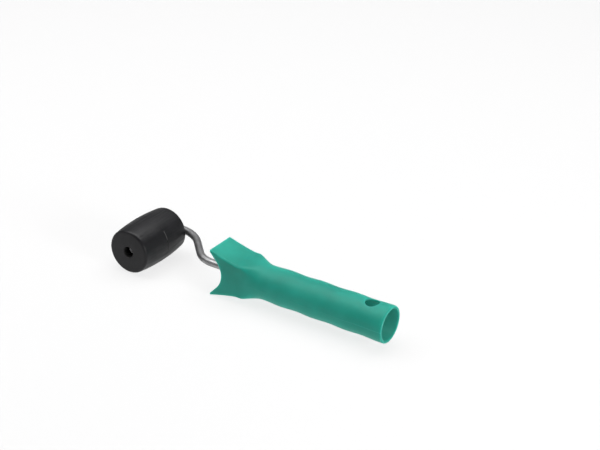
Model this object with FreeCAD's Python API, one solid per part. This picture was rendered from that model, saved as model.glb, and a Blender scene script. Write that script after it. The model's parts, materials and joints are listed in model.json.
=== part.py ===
import FreeCAD, Part

import math
import os

# Seam roller: a barrel of rubber turns on the end of a bent wire arm that is held in a plastic handle.
# Sizes are in millimetres. Everything is drawn about two lines that cross at the drawing origin: the
# handle axis along X, with its open rear end at +X, and the roller axis along Y, with the arm at +Y.
# On export each shape moves so that the origin is the middle of the footprint, on the bench.

# Roller
roller_length = 50.0
roller_radius = 19.0            # middle of the crown
roller_end_radius = 17.3        # where the crown would meet the end planes
roller_edge_radius = 2.3
roller_centre_y = 1.4           # the barrel sits a little towards the arm
flash_height = 0.12             # mould flash round the middle of the crown
flash_width = 0.5
flash_root_radius = 18.0        # the flash starts inside the crown
front_web = 4.5                 # rubber over the front of the sleeve
front_hole_radius = 4.4
sleeve_radius = 9.5
sleeve_end_gap = 0.6            # sleeve's rear end stands back inside the rubber
rib_radius = 10.4               # rings that key the rubber to the sleeve
rib_root_radius = 8.5           # the rings start inside the sleeve's wall
rib_width = 2.0
rib_places = (14.0, 24.7, 35.4)  # from the front face of the roller
counterbore_radius = 7.2

# Bearings on the axle, placed from the front face of the roller
bush_radius = 4.8
bush_length = 9.0
flange_radius = 6.6
flange_thickness = 1.5
front_flange_at = 12.9
rear_flange_end = 42.1
running_clearance = 0.08
washer_radius = 6.0
washer_thickness = 1.0
washer_clearance = 0.1
axial_play = 0.3
push_nut_radius = 6.2
push_nut_sheet = 0.5
push_nut_rise = 0.9
push_nut_rim = 1.8
push_nut_teeth = 6
tooth_slot = 0.8
tooth_radius = 2.96             # the teeth bite a little into the wire
collar_radius = 5.4
collar_length = 3.2
collar_edge = 0.6
collar_bore = 2.98              # pressed on the wire

# Wire arm
wire_radius = 3.0
wire_tip_recess = 5.0           # tip below the front face of the roller
wire_tip_chamfer = 0.5
elbow_radius = 6.0
arm_offset = 30.7               # arm's first run, behind the roller, from the handle axis
first_bend_x = 8.6
first_bend_radius = 33.5
second_bend_radius = 22.5
diagonal_angle = math.radians(46.7)
wire_end_x = 126.0
ear_x = 108.0
ear_length = 8.0
ear_span = 8.6
ear_thickness = 2.4

# Handle
handle_end_x = 214.7
tip_x = 68.4
tip_half_width = 12.95
shoulder_x = 92.2
shoulder_half_width = 13.59
shoulder_half_height = 13.57
flare_power = 1.25
head_edge_radius = 1.5
tip_land = 1.7                  # blunt front of each tip
notch_radius = 16.0
notch_bottom_x = 78.7
notch_lip_angle = math.radians(43.0)  # where the notch's arc gives way to a straight lip
neck_front_x = 96.4             # the head's corners start to melt away here
neck_rear_x = 111.3             # and the grip is round from here
neck_bias = 0.75                # under 1, the corners melt faster at first
neck_front_radius = 18.4        # reach of the head's corners from the handle axis
neck_rear_radius = 13.1
neck_half_width = 12.7          # the head's flats sink into the round grip
neck_points = 9
grip_front_radius = 13.53
grip_rear_radius = 13.84
wave_front = 0.275
wave_rear = 0.213
wave_period = 27.4
wave_crest_x = 155.3
wave_points_per_period = 6
mouth_radius = 12.0
mouth_depth = 34.0
mouth_edge = 0.8
cavity_front_x = 85.0
cavity_front_radius = 10.6
cavity_corner = 1.5
boss_radius = 5.6
boss_root_x = 84.0              # the boss and ribs start inside the cavity's front wall
boss_end_x = 131.0
rib_end_x = 122.0
rib_thickness = 1.6
rib_reach = 11.8                # the ribs end inside the grip's wall
hang_hole_radius = 5.3
hang_hole_x = 199.4

# How near two sizes must be to count as the same when an edge is picked out
tolerance = 0.01

# Worked out from the sizes above
roller_front_y = roller_centre_y - roller_length / 2
roller_back_y = roller_centre_y + roller_length / 2
rest_height = roller_radius + flash_height
footprint_x = (handle_end_x - rest_height) / 2
footprint_y = (roller_front_y + arm_offset + wire_radius) / 2
along_x = FreeCAD.Vector(1, 0, 0)
along_y = FreeCAD.Vector(0, 1, 0)
along_z = FreeCAD.Vector(0, 0, 1)
to_footprint = FreeCAD.Vector(-footprint_x, -footprint_y, rest_height)


def vector(x, y, z=0.0):
    return FreeCAD.Vector(x, y, z)


def line(start, end):
    return Part.LineSegment(start, end).toShape()


def arc(start, middle, end):
    return Part.Arc(start, middle, end).toShape()


def outline(points):
    return Part.Face(Part.makePolygon([*points, points[0]]))


def turned_on_y(points):
    """Solid of revolution about the roller axis, from corners (radius, distance behind the front face)."""
    corners = [vector(radius, roller_front_y + at) for radius, at in points]
    return outline(corners).revolve(vector(0, 0), along_y, 360)


def ring(outer, inner, start, end):
    return turned_on_y([(inner, start), (outer, start), (outer, end), (inner, end)])


def make_roller_sleeve():
    """Stiff sleeve with a pocket at each end, a bush seat in each, and rings that key the rubber."""
    front = front_web
    back = roller_length - sleeve_end_gap
    body = turned_on_y([
        (counterbore_radius, front),
        (sleeve_radius, front),
        (sleeve_radius, back),
        (counterbore_radius, back),
        (counterbore_radius, rear_flange_end - flange_thickness),
        (bush_radius, rear_flange_end - flange_thickness),
        (bush_radius, front_flange_at + flange_thickness),
        (counterbore_radius, front_flange_at + flange_thickness),
    ])
    for place in rib_places:
        rib = ring(rib_radius, rib_root_radius, place - rib_width / 2, place + rib_width / 2)
        body = body.fuse(rib)
    return body.removeSplitter()


def make_sleeve_room():
    """The space that the sleeve takes up in the rubber, with its bore filled in."""
    room = ring(sleeve_radius, 0.0, front_web, roller_length - sleeve_end_gap)
    for place in rib_places:
        room = room.fuse(ring(rib_radius, 0.0, place - rib_width / 2, place + rib_width / 2))
    return room.removeSplitter()


def make_roller_tyre():
    """Crowned rubber barrel: a hole in its front face, and the sleeve's room open to the rear."""
    front = vector(roller_end_radius, roller_front_y)
    middle = vector(roller_radius, roller_centre_y)
    back = vector(roller_end_radius, roller_back_y)
    crown = arc(front, middle, back)
    axis_front = vector(0, roller_front_y)
    axis_back = vector(0, roller_back_y)
    edges = [crown, line(back, axis_back), line(axis_back, axis_front), line(axis_front, front)]
    barrel = Part.Face(Part.Wire(edges)).revolve(vector(0, 0), along_y, 360)
    rims = [edge for edge in barrel.Edges if is_barrel_rim(edge)]
    barrel = barrel.makeFillet(roller_edge_radius, rims)
    half = roller_length / 2
    flash = turned_on_y([
        (flash_root_radius, half - flash_width / 2),
        (roller_radius, half - flash_width / 2),
        (rest_height, half - flash_width / 8),
        (rest_height, half + flash_width / 8),
        (roller_radius, half + flash_width / 2),
        (flash_root_radius, half + flash_width / 2),
    ])
    barrel = barrel.fuse(flash)
    barrel = barrel.cut(make_sleeve_room())
    barrel = barrel.cut(ring(front_hole_radius, 0.0, 0.0, front_web))
    rear_opening = ring(sleeve_radius, 0.0, roller_length - sleeve_end_gap, roller_length)
    return barrel.cut(rear_opening).removeSplitter()


def is_barrel_rim(edge):
    if not isinstance(edge.Curve, Part.Circle):
        return False
    return abs(edge.Curve.Radius - roller_end_radius) < tolerance


def make_bush(flange_start, sleeve_start):
    """Flanged plain bearing. The flange faces out of the roller, towards its thrust washer."""
    bore = wire_radius + running_clearance
    flange = ring(flange_radius, bore, flange_start, flange_start + flange_thickness)
    sleeve = ring(bush_radius, bore, sleeve_start, sleeve_start + bush_length)
    return flange.fuse(sleeve).removeSplitter()


def make_washer(start):
    return ring(washer_radius, wire_radius + washer_clearance, start, start + washer_thickness)


def make_push_nut():
    """Dished spring-steel fastener whose teeth bite the wire and point towards its tip."""
    back = front_flange_at - axial_play - washer_thickness
    shoulder = push_nut_radius - push_nut_rim
    nut = turned_on_y([
        (push_nut_radius, back),
        (shoulder, back),
        (tooth_radius, back - push_nut_rise),
        (tooth_radius, back - push_nut_rise - push_nut_sheet),
        (shoulder, back - push_nut_sheet),
        (push_nut_radius, back - push_nut_sheet),
    ])
    depth = push_nut_rise + 2 * push_nut_sheet
    for index in range(push_nut_teeth):
        slot = Part.makeBox(shoulder, depth, tooth_slot)
        slot.translate(vector(0, roller_front_y + back - depth + push_nut_sheet / 2, -tooth_slot / 2))
        slot.rotate(vector(0, 0), along_y, 360.0 * index / push_nut_teeth)
        nut = nut.cut(slot)
    return nut


def make_stop_collar():
    """Steel collar pressed on the axle: the rear thrust washer bears on it."""
    start = rear_flange_end + axial_play + washer_thickness
    end = start + collar_length
    return turned_on_y([
        (collar_bore, start),
        (collar_radius, start),
        (collar_radius, end - collar_edge),
        (collar_radius - collar_edge, end),
        (collar_bore, end),
    ])


def make_arm_path():
    """Centre line of the wire: axle, tight elbow, first run, long bend, diagonal, bend, handle end."""
    tip = vector(0, roller_front_y + wire_tip_recess)
    elbow_start = vector(0, arm_offset - elbow_radius)
    elbow_end = vector(elbow_radius, arm_offset)
    first_start = vector(first_bend_x, arm_offset)
    first_mid = first_bend_point(diagonal_angle / 2)
    first_end = first_bend_point(diagonal_angle)
    drop = second_bend_radius * (1 - math.cos(diagonal_angle))
    run = (first_end.y - drop) / math.tan(diagonal_angle)
    second_start = vector(first_end.x + run, drop)
    reach = second_bend_radius * math.sin(diagonal_angle)
    second_end = vector(second_start.x + reach, 0)
    half = diagonal_angle / 2
    second_mid = vector(
        second_end.x - second_bend_radius * math.sin(half),
        second_bend_radius * (1 - math.cos(half)),
    )
    corner = elbow_radius * (1 - math.sqrt(0.5))
    elbow_mid = vector(corner, arm_offset - corner)
    return Part.Wire([
        line(tip, elbow_start),
        arc(elbow_start, elbow_mid, elbow_end),
        line(elbow_end, first_start),
        arc(first_start, first_mid, first_end),
        line(first_end, second_start),
        arc(second_start, second_mid, second_end),
        line(second_end, vector(wire_end_x, 0)),
    ])


def first_bend_point(turned):
    """Where the first bend has got to once the wire has turned by an angle towards the handle axis."""
    across = first_bend_radius * math.sin(turned)
    down = first_bend_radius * (1 - math.cos(turned))
    return vector(first_bend_x + across, arm_offset - down)


def make_wire_arm():
    """Round wire with a chamfered tip, and two pressed ears that lock it in the handle."""
    path = make_arm_path()
    tip = path.Vertexes[0].Point
    section = Part.Wire(Part.makeCircle(wire_radius, tip, along_y))
    wire = path.makePipeShell([section], True, True)
    tip_edges = [edge for edge in wire.Edges if is_tip_edge(edge, tip)]
    wire = wire.makeChamfer(wire_tip_chamfer, tip_edges)
    ears = Part.makeBox(ear_length, ear_thickness, ear_span)
    ears.translate(vector(ear_x, -ear_thickness / 2, -ear_span / 2))
    return wire.fuse(ears).removeSplitter()


def is_tip_edge(edge, tip):
    box = edge.BoundBox
    return box.YLength < tolerance and abs(box.YMin - tip.y) < tolerance


def head_half_height(x):
    """Half the height of the flared head: it sweeps up from the shoulder to the front tips."""
    share = max(0.0, (shoulder_x - x) / (shoulder_x - tip_x))
    return shoulder_half_height + (rest_height - shoulder_half_height) * share ** flare_power


def make_head_plan():
    """The head seen from above: it widens to the shoulder, then narrows into the grip."""
    return [
        vector(tip_x, -tip_half_width),
        vector(shoulder_x, -shoulder_half_width),
        vector(neck_rear_x, -neck_half_width),
        vector(neck_rear_x, neck_half_width),
        vector(shoulder_x, shoulder_half_width),
        vector(tip_x, tip_half_width),
    ]


def make_head():
    """Fishtail front: flared above and below, with a round notch between its two tips."""
    notch_centre_x = notch_bottom_x - notch_radius
    lip_x = notch_centre_x + notch_radius * math.cos(notch_lip_angle)
    lip_z = notch_radius * math.sin(notch_lip_angle)
    tip_z = head_half_height(tip_x)
    steps = 6
    flare = []
    for index in range(steps + 1):
        x = tip_x + (shoulder_x - tip_x) * index / steps
        flare.append(vector(x, 0, head_half_height(x)))
    top_curve = Part.BSplineCurve()
    top_curve.interpolate(flare)
    top = top_curve.toShape()
    bottom = top.mirror(vector(0, 0), along_z)
    shoulder = flare[-1]
    rear_top = vector(neck_rear_x, 0, neck_half_width)
    rear_bottom = vector(neck_rear_x, 0, -neck_half_width)
    lip_top = vector(lip_x, 0, lip_z)
    lip_bottom = vector(lip_x, 0, -lip_z)
    edges = [
        top,
        line(shoulder, rear_top),
        line(rear_top, rear_bottom),
        line(rear_bottom, vector(shoulder_x, 0, -shoulder_half_height)),
        bottom,
        line(vector(tip_x, 0, -tip_z), vector(tip_x, 0, tip_land - tip_z)),
        line(vector(tip_x, 0, tip_land - tip_z), lip_bottom),
        arc(lip_bottom, vector(notch_bottom_x, 0, 0), lip_top),
        line(lip_top, vector(tip_x, 0, tip_z - tip_land)),
        line(vector(tip_x, 0, tip_z - tip_land), vector(tip_x, 0, tip_z)),
    ]
    face = Part.Face(Part.Wire(Part.__sortEdges__(edges)))
    face.translate(vector(0, -rest_height))
    head = face.extrude(vector(0, 2 * rest_height))
    plan = outline(make_head_plan())
    plan.translate(vector(0, 0, -rest_height))
    head = head.common(plan.extrude(vector(0, 0, 2 * rest_height)))
    corners = [edge for edge in head.Edges if is_head_corner(edge)]
    head = head.makeFillet(head_edge_radius, corners)
    return head.common(make_neck_envelope())


def is_head_corner(edge):
    """The long edges between the head's flared faces and its flat sides."""
    box = edge.BoundBox
    lengthwise = box.XLength > head_edge_radius and box.YLength < head_edge_radius
    return lengthwise and min(abs(box.ZMin), abs(box.ZMax)) > neck_half_width - tolerance


def neck_radius_at(x):
    """Reach of the head's corners behind the shoulder, as they melt into the round grip."""
    share = ((x - neck_front_x) / (neck_rear_x - neck_front_x)) ** neck_bias
    share = share * share * (3 - 2 * share)
    return neck_front_radius + (neck_rear_radius - neck_front_radius) * share


def make_neck_envelope():
    """Turned shape that trims the head's corners away behind the shoulder, down to the round grip."""
    wide = 2 * rest_height
    points = []
    for index in range(neck_points):
        x = neck_front_x + (neck_rear_x - neck_front_x) * index / (neck_points - 1)
        points.append(vector(x, neck_radius_at(x)))
    curve = Part.BSplineCurve()
    curve.interpolate(points)
    edges = [
        line(vector(0, 0), vector(0, wide)),
        line(vector(0, wide), vector(neck_front_x, wide)),
        line(vector(neck_front_x, wide), points[0]),
        curve.toShape(),
        line(points[-1], vector(neck_rear_x, 0)),
        line(vector(neck_rear_x, 0), vector(0, 0)),
    ]
    return Part.Face(Part.Wire(edges)).revolve(vector(0, 0), along_x, 360)


def grip_radius_at(x):
    """The grip swells and narrows in shallow waves that fade towards the rear."""
    share = (x - neck_rear_x) / (handle_end_x - neck_rear_x)
    height = wave_front + (wave_rear - wave_front) * share
    radius = grip_front_radius + (grip_rear_radius - grip_front_radius) * share
    return radius + height * math.cos(2 * math.pi * (x - wave_crest_x) / wave_period)


def make_grip():
    """Turned outer shape of the grip, from inside the head to the rear rim."""
    count = round(wave_points_per_period * (handle_end_x - neck_rear_x) / wave_period)
    points = []
    for index in range(count + 1):
        x = neck_rear_x + (handle_end_x - neck_rear_x) * index / count
        points.append(vector(x, grip_radius_at(x)))
    curve = Part.BSplineCurve()
    curve.interpolate(points)
    start = points[0]
    end = points[-1]
    inner_front = vector(cavity_front_x, neck_rear_radius)
    edges = [
        line(inner_front, start),
        curve.toShape(),
        line(end, vector(end.x, 0)),
        line(vector(end.x, 0), vector(inner_front.x, 0)),
        line(vector(inner_front.x, 0), inner_front),
    ]
    grip = Part.Face(Part.Wire(edges)).revolve(vector(0, 0), along_x, 360)
    rims = [edge for edge in grip.Edges if is_rear_rim(edge, end.y)]
    return grip.makeFillet(mouth_edge, rims)


def is_rear_rim(edge, radius):
    if not isinstance(edge.Curve, Part.Circle):
        return False
    at_end = abs(edge.BoundBox.XMin - handle_end_x) < tolerance
    return at_end and abs(edge.Curve.Radius - radius) < tolerance


def make_cavity():
    """Space left by the core pin: a straight mouth, then a slight taper to a flat front end."""
    rear = handle_end_x
    mouth_front = rear - mouth_depth
    points = [
        vector(cavity_front_x, 0),
        vector(cavity_front_x, cavity_front_radius - cavity_corner),
        vector(cavity_front_x + cavity_corner, cavity_front_radius),
        vector(mouth_front, mouth_radius),
        vector(rear, mouth_radius),
        vector(rear, 0),
    ]
    return outline(points).revolve(vector(0, 0), along_x, 360)


def make_boss():
    """Socket for the wire inside the handle, with four ribs out to the wall."""
    boss = Part.makeCylinder(boss_radius, boss_end_x - boss_root_x, vector(boss_root_x, 0), along_x)
    for turn in (45.0, 135.0):
        rib = Part.makeBox(rib_end_x - boss_root_x, 2 * rib_reach, rib_thickness)
        rib.translate(vector(boss_root_x, -rib_reach, -rib_thickness / 2))
        rib.rotate(vector(0, 0), along_x, turn)
        boss = boss.fuse(rib)
    return boss


def make_handle(wire):
    """One moulding: fishtail head, waved grip, deep rear mouth, wire socket and hanging hole."""
    handle = make_head().fuse(make_grip())
    handle = handle.cut(make_cavity())
    handle = handle.fuse(make_boss())
    handle = handle.cut(wire)
    below = vector(hang_hole_x, 0, -rest_height)
    hole = Part.makeCylinder(hang_hole_radius, 2 * rest_height, below, along_z)
    return handle.cut(hole).removeSplitter()


def make_parts():
    wire = make_wire_arm()
    rear_bush_start = rear_flange_end - flange_thickness
    front_washer_start = front_flange_at - axial_play - washer_thickness
    return {
        "handle": make_handle(wire),
        "wire_arm": wire,
        "stop_collar": make_stop_collar(),
        "rear_thrust_washer": make_washer(rear_flange_end + axial_play),
        "front_thrust_washer": make_washer(front_washer_start),
        "push_nut": make_push_nut(),
        "roller_tyre": make_roller_tyre(),
        "roller_sleeve": make_roller_sleeve(),
        "front_bush": make_bush(front_flange_at, front_flange_at + flange_thickness),
        "rear_bush": make_bush(rear_bush_start, rear_bush_start - bush_length),
    }


os.makedirs("parts", exist_ok=True)
for node, shape in make_parts().items():
    solid = shape.Solids[0].copy()
    solid.translate(to_footprint)
    solid.exportStep(os.path.join("parts", node + ".step"))
    print(node, len(shape.Solids), solid.isValid(), round(solid.Volume, 1))
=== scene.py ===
import json
import math

import bmesh
import bpy
import numpy as np
from mathutils import Matrix, Vector


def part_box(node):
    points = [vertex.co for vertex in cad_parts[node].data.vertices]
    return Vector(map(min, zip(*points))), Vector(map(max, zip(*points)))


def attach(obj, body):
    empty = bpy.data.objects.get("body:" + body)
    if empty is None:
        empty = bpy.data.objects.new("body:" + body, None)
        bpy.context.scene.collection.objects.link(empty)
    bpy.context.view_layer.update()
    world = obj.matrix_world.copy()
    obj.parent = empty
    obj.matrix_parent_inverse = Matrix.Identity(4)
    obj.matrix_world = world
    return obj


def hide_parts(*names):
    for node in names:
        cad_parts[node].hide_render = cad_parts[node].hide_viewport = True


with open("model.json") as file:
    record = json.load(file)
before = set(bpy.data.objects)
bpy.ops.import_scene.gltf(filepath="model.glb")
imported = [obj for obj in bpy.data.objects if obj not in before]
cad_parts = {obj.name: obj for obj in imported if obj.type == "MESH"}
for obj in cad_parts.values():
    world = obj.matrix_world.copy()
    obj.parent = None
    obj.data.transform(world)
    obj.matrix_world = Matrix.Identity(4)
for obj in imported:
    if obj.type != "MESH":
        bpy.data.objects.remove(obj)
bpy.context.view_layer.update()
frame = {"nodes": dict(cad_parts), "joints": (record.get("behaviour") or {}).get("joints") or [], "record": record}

# Pieces are drawn in millimetres from the point where two lines cross: the handle axis, along X with
# the open rear end at +X, and the roller axis, along Y with the wire arm at +Y. ORIGIN is that point
# in the row frame, in metres.
MM = 0.001
JOINT = frame["joints"][0]
MOUNTS = {mount["name"]: mount for mount in frame["record"]["mounts"]}
ORIGIN = Vector((JOINT["pos_m"][0], MOUNTS["rear_socket"]["pos_m"][1], JOINT["pos_m"][2]))


def drawn_box(node):
    """A CAD node's lowest and highest corners in drawing millimetres."""
    low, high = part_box(node)
    return (low - ORIGIN) / MM, (high - ORIGIN) / MM


TYRE_LOW, TYRE_HIGH = drawn_box("roller_tyre")
WIRE_LOW, WIRE_HIGH = drawn_box("wire_arm")
HANDLE_LOW, HANDLE_HIGH = drawn_box("handle")
ROLLER_FRONT = TYRE_LOW.y
ROLLER_LENGTH = TYRE_HIGH.y - TYRE_LOW.y
REST_HEIGHT = -TYRE_LOW.z
TIP_X = HANDLE_LOW.x
HANDLE_END = HANDLE_HIGH.x

# Roller
CROWN_RADIUS = 19.0
CROWN_END_RADIUS = 17.3
CROWN_EDGE = 1.9
END_DROP = 0.02  # the end corners start this far inside the crown's line
FLASH_WIDTH = 0.7
# The flash line's section, as (share of its width from the middle, share of its height)
FLASH_SECTION = ((-0.5, 0.0), (-0.3, 0.35), (-0.12, 1.0), (0.12, 1.0), (0.3, 0.35), (0.5, 0.0))
FLASH_WEAR = 0.05
FLASH_WAVER = 0.03
GATE_ANGLE = math.radians(28.0)
GATE_HALF = math.radians(9.0)
GATE_RISE = 0.22
SPLIT_ANGLE = math.radians(4.0)
SPLIT_HALF = math.radians(11.0)
SPLIT_DEPTH = 0.16
MARK_FADE = math.radians(3.0)
WEB = 4.5
FRONT_HOLE = 4.4
BORE_MARGIN = 0.1
SLEEVE_RADIUS = 9.5
SLEEVE_GAP = 0.6
POCKET_RADIUS = 7.2
BUSH_RADIUS = 4.8
BUSH_BORE = 3.08
FLANGE_RADIUS = 6.6
FLANGE_THICKNESS = 1.5
WASHER_RADIUS = 6.0
WASHER_BORE = 3.1
FIT = 0.02  # gap where pieces touch, and bite where they are pressed on

# Roundings of small edges, and how finely the turned pieces are divided
FINE_EDGE = 0.2
PLAIN_EDGE = 0.3
SOFT_EDGE = 0.4
NOSE_EDGE = 0.5
WASHER_EDGE = 0.15
COLLAR_FRONT_EDGE = 0.25
COLLAR_REAR_EDGE = 0.7
CROWN_STEPS = 12
TYRE_EDGE_STEPS = 10
TYRE_SEGMENTS = 224
SLEEVE_SEGMENTS = 144
SMALL_SEGMENTS = 96

# Wire arm
WIRE_RADIUS = 3.0
WIRE_CHAMFER = 0.5
CHAMFER_BACK = 0.12  # the chamfer bulges through a point this far back
CHAMFER_RISE = 0.22  # and this far out from the tip's flat face
ELBOW_RADIUS = 6.0
FIRST_BEND_X = 8.6
FIRST_BEND_RADIUS = 33.5
SECOND_BEND_RADIUS = 22.5
DIAGONAL_ANGLE = math.radians(46.7)
BEND_THINS = 0.035  # a bend as tight as the elbow presses the wire this much flatter
BEND_SPREADS = 0.02  # and this much wider
EAR_X = 108.0
EAR_LENGTH = 8.0
EAR_SPAN = 8.6
EAR_THICKNESS = 3.4
EAR_BLEND = 1.5
WIRE_STEP = 0.75
BEND_STEP = math.radians(4)
WIRE_AROUND = 56

# Handle
TIP_HALF_WIDTH = 12.95
SHOULDER_HALF_WIDTH = 13.59
SHOULDER_HALF_HEIGHT = 13.57
SHOULDER_X = 92.2
FLARE_POWER = 1.25
TIP_LAND = 1.7
NOTCH_RADIUS = 16.0
NOTCH_BOTTOM_X = 78.7
NOTCH_LIP_ANGLE = math.radians(43.0)
CORNER_FRONT = 0.7
CORNER_REAR = 2.0
BLEND_START = 96.4
BLEND_END = 111.3
BLEND_BIAS = 0.75
GRIP_FRONT_RADIUS = 13.53
GRIP_REAR_RADIUS = 13.84
WAVE_FRONT = 0.275
WAVE_REAR = 0.213
WAVE_PERIOD = 27.4
WAVE_CREST_X = 155.3
FRONT_EDGE = 0.5
RIM_OUTER_EDGE = 0.8
RIM_INNER_EDGE = 0.35
SEAM_HEIGHT = 0.13
MOUTH_RADIUS = MOUNTS["rear_socket"]["dims"]["r_mm"]
MOUTH_DEPTH = 34.0
CAVITY_FRONT = 85.0
CAVITY_FRONT_RADIUS = 10.6
CAVITY_CORNER = 1.5
BOSS_RADIUS = 5.6
BOSS_END = 131.0
BOSS_ROOT = 1.0
BOSS_EDGE = 0.8
DIMPLE_RADIUS = 3.0
DIMPLE_FLOOR_RADIUS = 1.4
DIMPLE_DEPTH = 0.25
RIB_END = 122.0
RIB_THICKNESS = 1.6
RIB_SLOPE = 3.0
RIB_BITE = 0.5  # the ribs start this far inside the wall
BOSS_BITE = 0.6  # and this far inside the boss
RIB_TURNS = (45, 135, 225, 315)  # degrees about the handle axis
SOCKET_RADIUS = 3.04
SOCKET_LIP = 0.35
SOCKET_END = 127.5
HANG_X = (MOUNTS["hang_hole"]["pos_m"][0] - ORIGIN.x) / MM
HANG_RADIUS = MOUNTS["hang_hole"]["dims"]["r_mm"]
HANG_EDGE = 0.35
HANDLE_SHARP = 38.0  # degrees between faces, past which an edge looks sharp

# The handle's rings: a side and a corner of the head, four times round
SIDE_STEPS = 24
CORNER_STEPS = 12
QUARTER = SIDE_STEPS + CORNER_STEPS
AROUND = 4 * QUARTER
SEAM_PLACES = (SIDE_STEPS / 2, SIDE_STEPS / 2 + 2 * QUARTER)
SEAM_HALF_WIDTH = 0.5
LAND_REACH = SIDE_STEPS / 2 * (REST_HEIGHT - TIP_LAND) / (REST_HEIGHT - CORNER_FRONT)
RING_PLACES = sorted(
    [float(k) for k in range(AROUND)]
    + [place + side * SEAM_HALF_WIDTH for place in SEAM_PLACES for side in (-1, 1)]
    + [place + side * LAND_REACH for place in SEAM_PLACES for side in (-1, 1)]
)
SETTLING_ROUNDS = 40
EDGE_STEPS = 5
LIP_STEPS = 4

# Rings along the handle, stretch by stretch
HEAD_STEPS = 26
NECK_STEPS = 20
GRIP_STEPS = 74
HANG_STEPS = 16
REAR_STEPS = 6
CAVITY_STEPS = 60
BOSS_STEPS = 14

# Blocks of the grid that the socket and the hanging hole are set in
SOCKET_ROWS = 5
SOCKET_COLUMNS = 7
SOCKET_LAYERS = 4
HANG_PLACES = (SIDE_STEPS / 2 + QUARTER, SIDE_STEPS / 2 + 3 * QUARTER)
HANG_COLUMNS = 15
HANG_LAYERS = 5
HANG_BLOCK_REACH = HANG_RADIUS + HANG_EDGE + 2.0
HANG_ZONE = HANG_RADIUS + HANG_EDGE + 2.4  # rings stand closer within this of the hole


# -------- mesh helpers


class Shell:
    """Points in drawing millimetres, and faces between them."""

    def __init__(self):
        self.points = []
        self.faces = []

    def loop(self, points):
        start = len(self.points)
        self.points.extend(tuple(float(x) for x in point) for point in points)
        return list(range(start, len(self.points)))

    def bridge(self, first, second):
        count = len(first)
        for k in range(count):
            n = (k + 1) % count
            self.faces.append((first[k], first[n], second[n], second[k]))

    def skin(self, rings):
        for first, second in zip(rings, rings[1:]):
            self.bridge(first, second)

    def cap(self, loop):
        self.faces.append(tuple(loop))


def make_piece(name, shell, material, body, node, sharp=32.0):
    """Turns a shell into an object in the row frame that stands for a CAD node and rides on its body."""
    mesh = bpy.data.meshes.new(name)
    places = [ORIGIN + MM * Vector(point) for point in shell.points]
    mesh.from_pydata(places, [], shell.faces)
    builder = bmesh.new()
    builder.from_mesh(mesh)
    bmesh.ops.recalc_face_normals(builder, faces=builder.faces)
    builder.to_mesh(mesh)
    builder.free()
    mesh.shade_smooth()
    mesh.set_sharp_from_angle(angle=math.radians(sharp))
    piece = bpy.data.objects.new(name, mesh)
    bpy.context.scene.collection.objects.link(piece)
    mesh.materials.append(material)
    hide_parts(node)
    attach(piece, body)
    return piece


def unit(vector):
    return vector / np.linalg.norm(vector)


def rounded(corners, steps=6):
    """Closed outline through corners (across, along, radius), each rounded by an arc of its radius."""
    points = []
    count = len(corners)
    for k, (across, along, radius) in enumerate(corners):
        here = np.array((across, along))
        if radius == 0:
            points.append(here)
            continue
        back = unit(np.array(corners[k - 1][:2]) - here)
        ahead = unit(np.array(corners[(k + 1) % count][:2]) - here)
        half = math.acos(np.clip(back @ ahead, -1, 1)) / 2
        centre = here + unit(back + ahead) * radius / math.sin(half)
        start = here + back * radius / math.tan(half) - centre
        end = here + ahead * radius / math.tan(half) - centre
        first = math.atan2(start[1], start[0])
        sweep = math.atan2(end[1], end[0]) - first
        sweep = (sweep + math.pi) % (2 * math.pi) - math.pi
        for step in range(steps + 1):
            angle = first + sweep * step / steps
            points.append(centre + radius * np.array((math.cos(angle), math.sin(angle))))
    return points


def turned_on_roller_axis(outline, segments, lift=None):
    """Closed ring about the roller axis. Outline points are (radius, distance behind the front face)."""
    shell = Shell()
    rings = []
    for k in range(segments):
        angle = 2 * math.pi * k / segments
        ring = []
        for radius, along in outline:
            reach = radius + (lift(along, angle) if lift else 0.0)
            ring.append((reach * math.cos(angle), ROLLER_FRONT + along, reach * math.sin(angle)))
        rings.append(shell.loop(ring))
    for k in range(segments):
        shell.bridge(rings[k], rings[(k + 1) % segments])
    return shell


# -------- material helpers


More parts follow.
